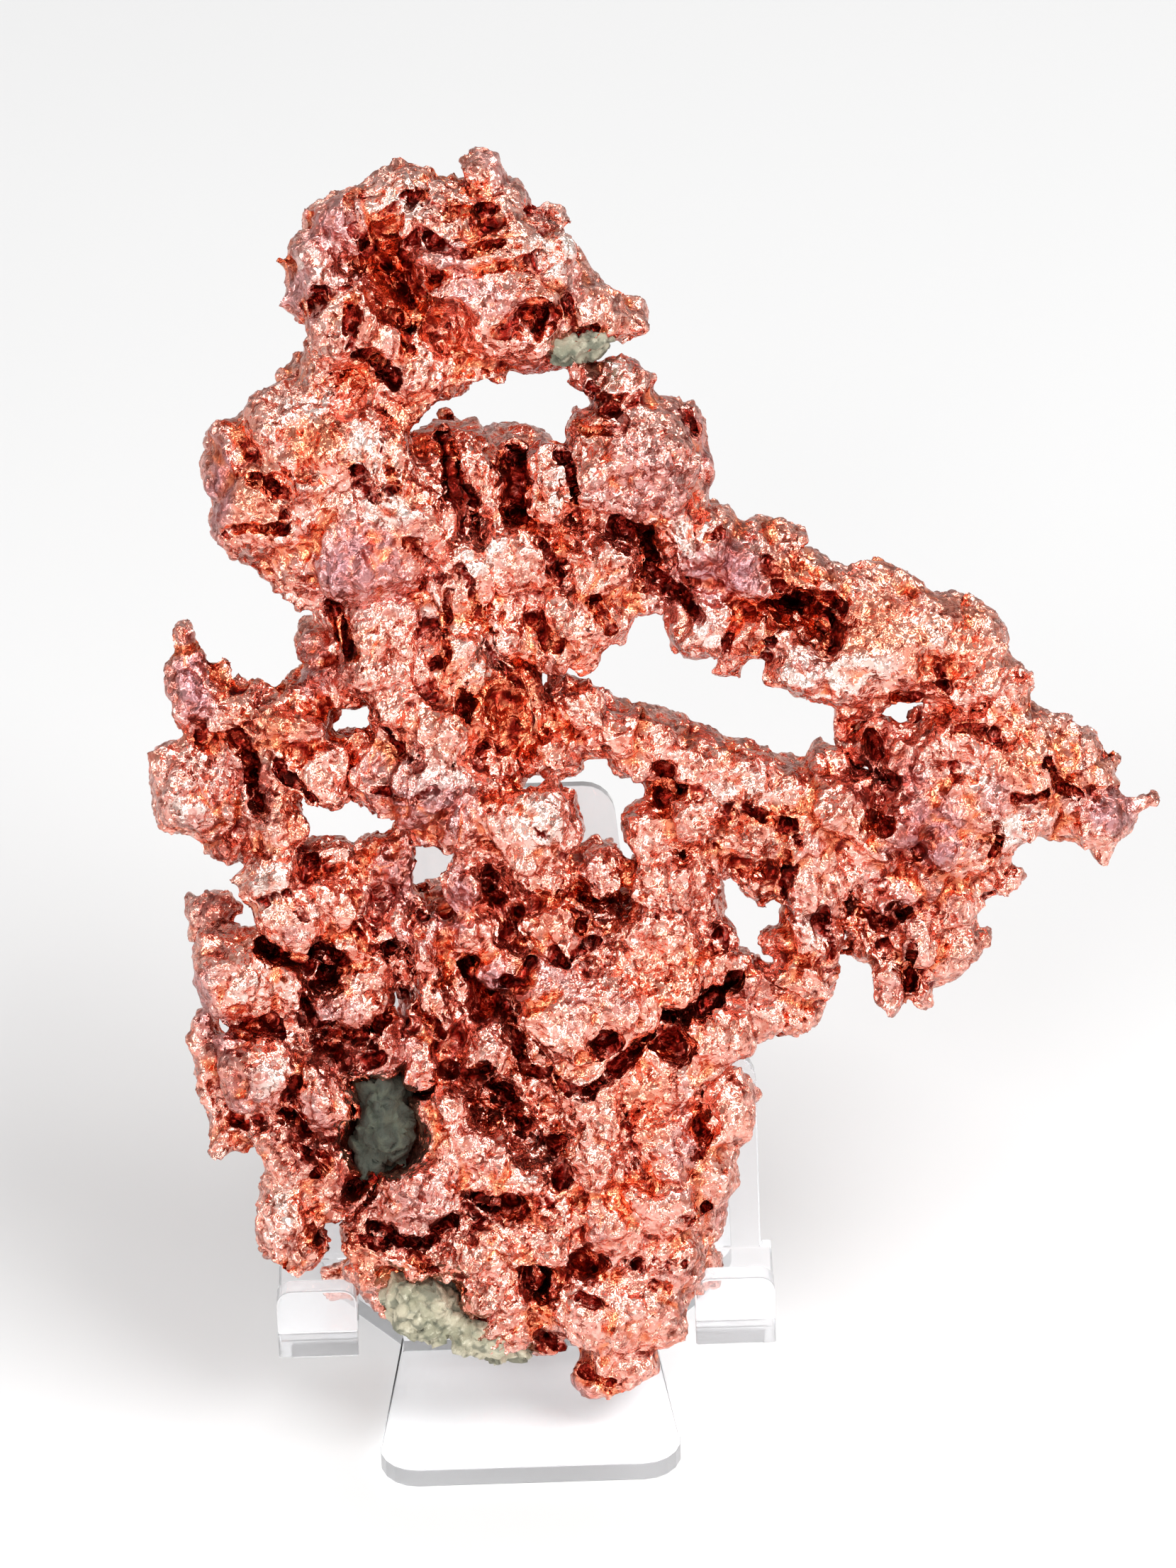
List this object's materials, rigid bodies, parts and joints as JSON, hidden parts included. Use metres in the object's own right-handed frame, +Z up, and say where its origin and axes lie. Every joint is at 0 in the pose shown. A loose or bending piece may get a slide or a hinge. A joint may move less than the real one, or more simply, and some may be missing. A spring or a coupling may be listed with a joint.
{
  "type": "native copper specimen on a clear easel",
  "caption": "Branching native copper specimen with bits of its host rock, resting upright on a small clear acrylic easel.",
  "frame": {"origin": "centre of the easel's base plate, on its underside", "axes": "+X to the right as seen from the front, +Y away from the viewer, +Z up"},
  "size_m": [0.1406, 0.088, 0.1781],
  "materials": {
    "crown": "rough native copper, crinkled and nodular, salmon pink with orange and deep red hollows",
    "upper_trunk": "rough native copper, crinkled and nodular, salmon pink with orange and deep red hollows",
    "shoulder": "rough native copper, crinkled and nodular, salmon pink with orange and deep red hollows",
    "right_arm": "rough native copper, crinkled and nodular, salmon pink with orange and deep red hollows",
    "right_wing": "rough native copper, crinkled and nodular, salmon pink with orange and deep red hollows",
    "middle_arm": "rough native copper, crinkled and nodular, salmon pink with orange and deep red hollows",
    "lower_trunk": "rough native copper, crinkled and nodular, salmon pink with orange and deep red hollows",
    "left_branch": "rough native copper, crinkled and nodular, salmon pink with orange and deep red hollows",
    "left_body": "rough native copper, crinkled and nodular, salmon pink with orange and deep red hollows",
    "centre": "rough native copper, crinkled and nodular, salmon pink with orange and deep red hollows",
    "base": "rough native copper, crinkled and nodular, salmon pink with orange and deep red hollows",
    "host_rock": "matt, grainy, pale tan green",
    "crown_rock": "matt, grainy, tan green",
    "easel": "clear polished acrylic"
  },
  "bodies": {
    "root": {"crown": "crown", "upper_trunk": "upper_trunk", "shoulder": "shoulder", "right_arm": "right_arm", "right_wing": "right_wing", "middle_arm": "middle_arm", "lower_trunk": "lower_trunk", "left_branch": "left_branch", "left_body": "left_body", "centre": "centre", "base": "base", "host_rock": "host_rock", "crown_rock": "crown_rock", "easel": "easel"}
  },
  "joints": []
}
